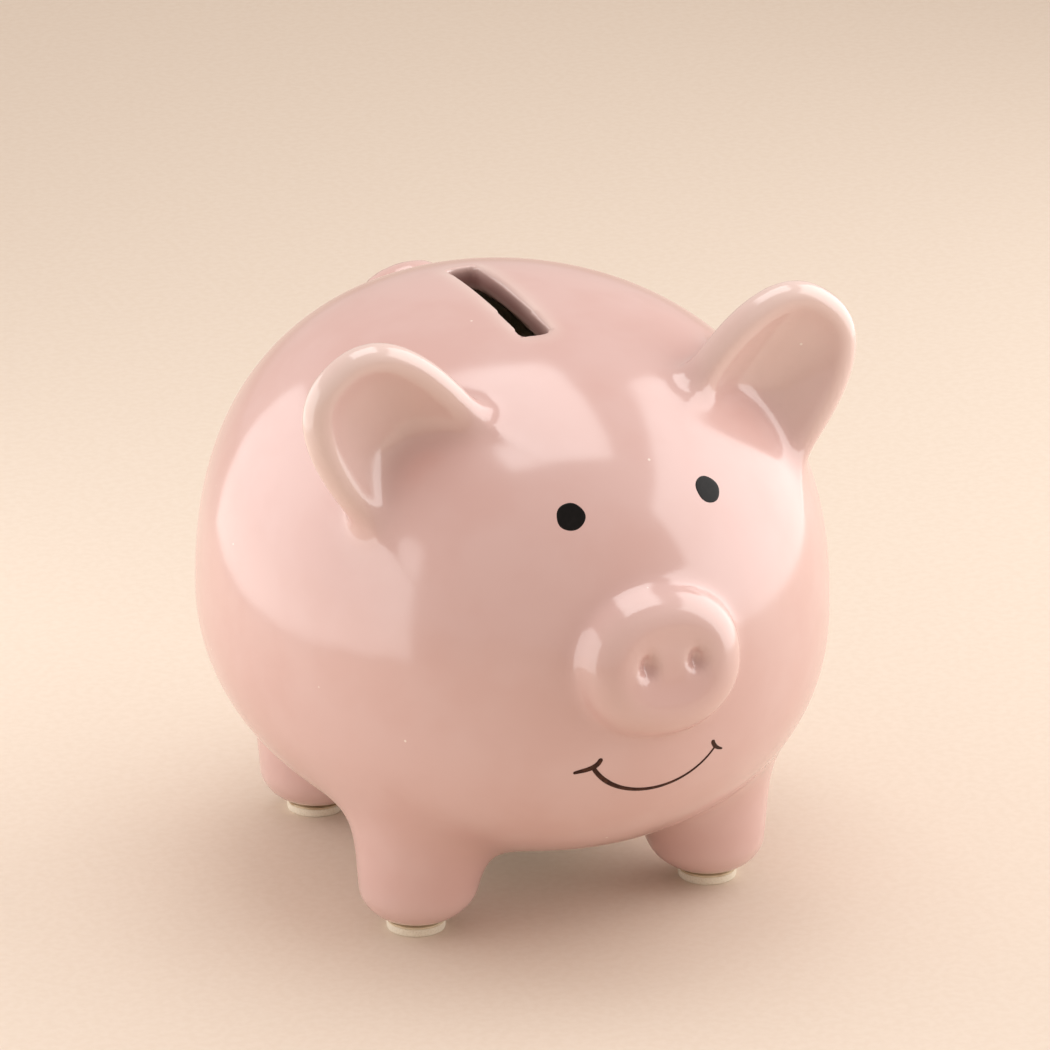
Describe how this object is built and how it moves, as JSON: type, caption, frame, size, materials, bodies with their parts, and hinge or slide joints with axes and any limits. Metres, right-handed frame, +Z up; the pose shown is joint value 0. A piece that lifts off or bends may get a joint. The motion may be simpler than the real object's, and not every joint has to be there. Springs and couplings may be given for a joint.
{
  "type": "figural coin bank",
  "caption": "Glazed ceramic money bank in the form of a round smiling pig, with a coin slot in its back and a soft pull-out plug in its belly.",
  "frame": {"origin": "on the ground, below the middle of the whole pig's box", "axes": "+Z up, -Y the way the pig looks, +X its left"},
  "size_m": [0.105, 0.1247, 0.1086],
  "materials": {
    "pink_glaze": "glossy pink glaze on slip-cast white earthenware",
    "pink_glaze_ears": "glossy pink glaze that thins to white on the rim",
    "pink_glaze_snout": "glossy pink glaze that thins to white on the rim",
    "pink_glaze_tail": "glossy pink glaze",
    "fired_black": "glossy fired black spot",
    "fired_brown_line": "fired brown-black brush line",
    "cream_foam": "matt closed-cell foam",
    "adhesive_film": "pressure-sensitive adhesive film",
    "soft_plug": "soft moulded vinyl, satin"
  },
  "bodies": {
    "bank": {"body_shell": "pink_glaze", "ear_left": "pink_glaze_ears", "ear_right": "pink_glaze_ears", "snout": "pink_glaze_snout", "tail": "pink_glaze_tail", "eye_left": "fired_black", "eye_right": "fired_black", "smile": "fired_brown_line", "foot_pad_front_left": "cream_foam", "foot_pad_front_right": "cream_foam", "foot_pad_rear_left": "cream_foam", "foot_pad_rear_right": "cream_foam", "pad_film_front_left": "adhesive_film", "pad_film_front_right": "adhesive_film", "pad_film_rear_left": "adhesive_film", "pad_film_rear_right": "adhesive_film"},
    "plug": {"stopper": "soft_plug"}
  },
  "joints": [
    {"name": "stopper_pull", "type": "slide", "parent": "bank", "child": "plug", "axis": [0, 0, -1], "range_m": [0, 0.0085]}
  ]
}
